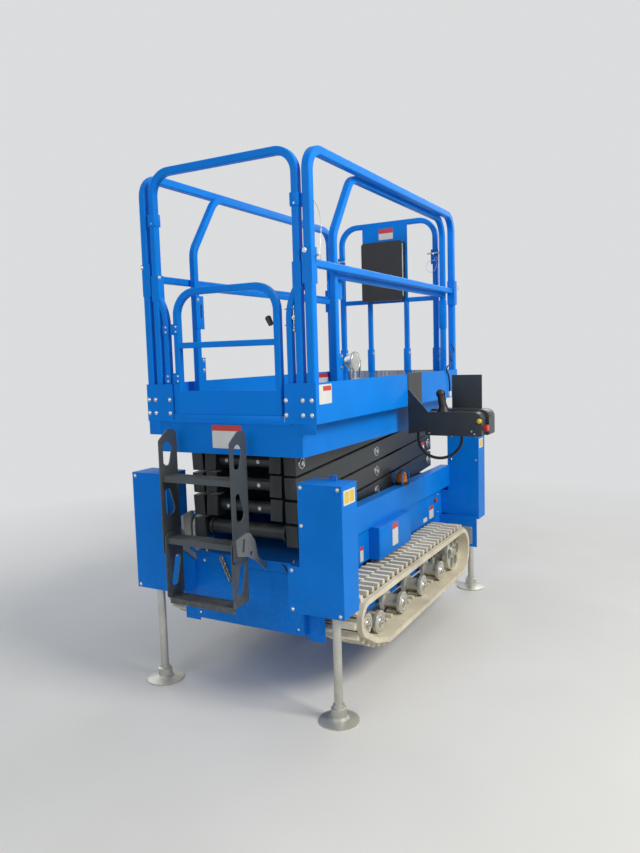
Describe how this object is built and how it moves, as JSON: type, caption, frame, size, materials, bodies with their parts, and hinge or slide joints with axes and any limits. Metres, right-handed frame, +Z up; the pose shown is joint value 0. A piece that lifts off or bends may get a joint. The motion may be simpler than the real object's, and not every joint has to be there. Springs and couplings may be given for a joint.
{
  "type": "tracked scissor lift",
  "caption": "Narrow tracked scissor lift with stabiliser legs, folded arm stack, railed platform with roll-out deck, entry gate, ladder and outboard console.",
  "frame": {"origin": "on the ground, midway between the four stabiliser boxes", "axes": "+X the machine's right, where the console hangs; -Y the ladder and gate end; +Z up"},
  "size_m": [1.4254, 2.2105, 2.397],
  "materials": {
    "amber": "gloss",
    "battery_case": "matt",
    "black_metal": "satin",
    "black_plastic": "matt",
    "body_blue": "satin",
    "cable": "matt",
    "dark_grey": "satin",
    "deck_metal": "satin",
    "rail_blue": "satin",
    "red_plastic": "gloss",
    "steel_rod": "polished",
    "track_rubber": "matt, dusty",
    "zinc": "satin"
  },
  "bodies": {
    "chassis": {"chassis_tub": "body_blue", "battery_pack": "battery_case", "pivot_shaft": "black_metal", "beacon": "amber", "ladder_upper": "dark_grey", "ladder_hinges": "zinc", "track_guards": "body_blue", "side_beam_left": "body_blue", "pivot_lug_left": "zinc", "side_cabinet_left": "body_blue", "track_left": "track_rubber", "track_wheels_left": "zinc", "track_carrier_left": "body_blue", "side_beam_right": "body_blue", "pivot_lug_right": "zinc", "side_cabinet_right": "body_blue", "track_right": "track_rubber", "track_wheels_right": "zinc", "track_carrier_right": "body_blue", "stabiliser_box_front_left": "body_blue", "stabiliser_box_front_right": "body_blue", "stabiliser_box_rear_left": "body_blue", "stabiliser_box_rear_right": "body_blue"},
    "outer_arms_1": {"outer_arms_1": "black_metal"},
    "inner_frame_1": {"inner_frame_1": "black_metal"},
    "outer_arms_2": {"outer_arms_2": "black_metal"},
    "inner_frame_2": {"inner_frame_2": "black_metal"},
    "outer_arms_3": {"outer_arms_3": "black_metal"},
    "inner_frame_3": {"inner_frame_3": "black_metal"},
    "outer_arms_4": {"outer_arms_4": "black_metal"},
    "inner_frame_4": {"inner_frame_4": "black_metal"},
    "lift_cylinder": {"lift_cylinder": "black_metal"},
    "lift_rod": {"lift_rod": "steel_rod"},
    "platform": {"platform_deck": "deck_metal", "platform_skirt": "body_blue", "deck_hangers": "body_blue", "slide_channel_left": "body_blue", "slide_channel_right": "body_blue", "toe_boards": "rail_blue", "side_rail_left": "rail_blue", "side_rail_right": "rail_blue", "front_hoop": "rail_blue", "console_bracket": "black_metal", "console_box": "black_metal", "joystick": "black_plastic", "stop_button": "red_plastic", "console_cable": "cable", "deck_lamp": "zinc"},
    "roll_out_deck": {"roll_out_deck": "deck_metal", "roll_out_rail_left": "rail_blue", "roll_out_rail_right": "rail_blue", "roll_out_end_rail": "rail_blue", "document_box": "black_plastic"},
    "entry_gate": {"entry_gate": "rail_blue"},
    "ladder_lower": {"ladder_lower": "dark_grey"},
    "leg_front_left": {"stabiliser_leg_front_left": "zinc"},
    "leg_front_right": {"stabiliser_leg_front_right": "zinc"},
    "leg_rear_left": {"stabiliser_leg_rear_left": "zinc"},
    "leg_rear_right": {"stabiliser_leg_rear_right": "zinc"}
  },
  "joints": [
    {"name": "lift", "type": "hinge", "parent": "chassis", "child": "outer_arms_1", "pos_m": [0, -0.878, 0.772], "axis": [1, 0, 0], "range_deg": [0, 53.2]},
    {"name": "inner_1_pivot", "type": "hinge", "parent": "outer_arms_1", "child": "inner_frame_1", "pos_m": [0, -0.07976, 0.825], "axis": [1, 0, 0], "range_deg": [-106.41, 0]},
    {"name": "outer_2_pivot", "type": "hinge", "parent": "inner_frame_1", "child": "outer_arms_2", "pos_m": [0, -0.878, 0.878], "axis": [1, 0, 0], "range_deg": [0, 106.41]},
    {"name": "inner_2_pivot", "type": "hinge", "parent": "outer_arms_2", "child": "inner_frame_2", "pos_m": [0, -0.07976, 0.931], "axis": [1, 0, 0], "range_deg": [-106.41, 0]},
    {"name": "outer_3_pivot", "type": "hinge", "parent": "inner_frame_2", "child": "outer_arms_3", "pos_m": [0, -0.878, 0.984], "axis": [1, 0, 0], "range_deg": [0, 106.41]},
    {"name": "inner_3_pivot", "type": "hinge", "parent": "outer_arms_3", "child": "inner_frame_3", "pos_m": [0, -0.07976, 1.037], "axis": [1, 0, 0], "range_deg": [-106.41, 0]},
    {"name": "outer_4_pivot", "type": "hinge", "parent": "inner_frame_3", "child": "outer_arms_4", "pos_m": [0, -0.878, 1.09], "axis": [1, 0, 0], "range_deg": [0, 106.41]},
    {"name": "inner_4_pivot", "type": "hinge", "parent": "outer_arms_4", "child": "inner_frame_4", "pos_m": [0, -0.07976, 1.143], "axis": [1, 0, 0], "range_deg": [-106.41, 0]},
    {"name": "platform_pivot", "type": "hinge", "parent": "inner_frame_4", "child": "platform", "pos_m": [0, -0.878, 1.196], "axis": [1, 0, 0], "range_deg": [0, 53.21]},
    {"name": "cylinder_pivot", "type": "hinge", "parent": "inner_frame_1", "child": "lift_cylinder", "pos_m": [0, -0.40603, 0.8166], "axis": [1, 0, 0], "range_deg": [0, 106.56]},
    {"name": "rod_slide", "type": "slide", "parent": "lift_cylinder", "child": "lift_rod", "axis": [0, 0.9827, 0.1849], "range_m": [0, 0.25892]},
    {"name": "roll_out", "type": "slide", "parent": "platform", "child": "roll_out_deck", "axis": [0, 1, 0], "range_m": [0, 0.9]},
    {"name": "gate_swing", "type": "hinge", "parent": "platform", "child": "entry_gate", "pos_m": [-0.296, -1.007, 1.47], "axis": [0, 0, 1], "range_deg": [0, 90]},
    {"name": "ladder_fold", "type": "hinge", "parent": "chassis", "child": "ladder_lower", "pos_m": [0, -1.062, 0.73], "axis": [-1, 0, 0], "range_deg": [0, 90]},
    {"name": "leg_front_left_slide", "type": "slide", "parent": "chassis", "child": "leg_front_left", "axis": [0, 0, 1], "range_m": [-0.05, 0.39]},
    {"name": "leg_front_right_slide", "type": "slide", "parent": "chassis", "child": "leg_front_right", "axis": [0, 0, 1], "range_m": [-0.05, 0.39]},
    {"name": "leg_rear_left_slide", "type": "slide", "parent": "chassis", "child": "leg_rear_left", "axis": [0, 0, 1], "range_m": [-0.05, 0.39]},
    {"name": "leg_rear_right_slide", "type": "slide", "parent": "chassis", "child": "leg_rear_right", "axis": [0, 0, 1], "range_m": [-0.05, 0.39]}
  ],
  "couplings": [
    {"joint": "inner_1_pivot", "follows": "lift", "ratio": -2},
    {"joint": "outer_2_pivot", "follows": "lift", "ratio": 2},
    {"joint": "inner_2_pivot", "follows": "lift", "ratio": -2},
    {"joint": "outer_3_pivot", "follows": "lift", "ratio": 2},
    {"joint": "inner_3_pivot", "follows": "lift", "ratio": -2},
    {"joint": "outer_4_pivot", "follows": "lift", "ratio": 2},
    {"joint": "inner_4_pivot", "follows": "lift", "ratio": -2},
    {"joint": "platform_pivot", "follows": "lift", "ratio": 1},
    {"joint": "cylinder_pivot", "follows": "lift", "ratio": 2.0028},
    {"joint": "rod_slide", "follows": "lift", "m_per_rad": 0.27863}
  ]
}
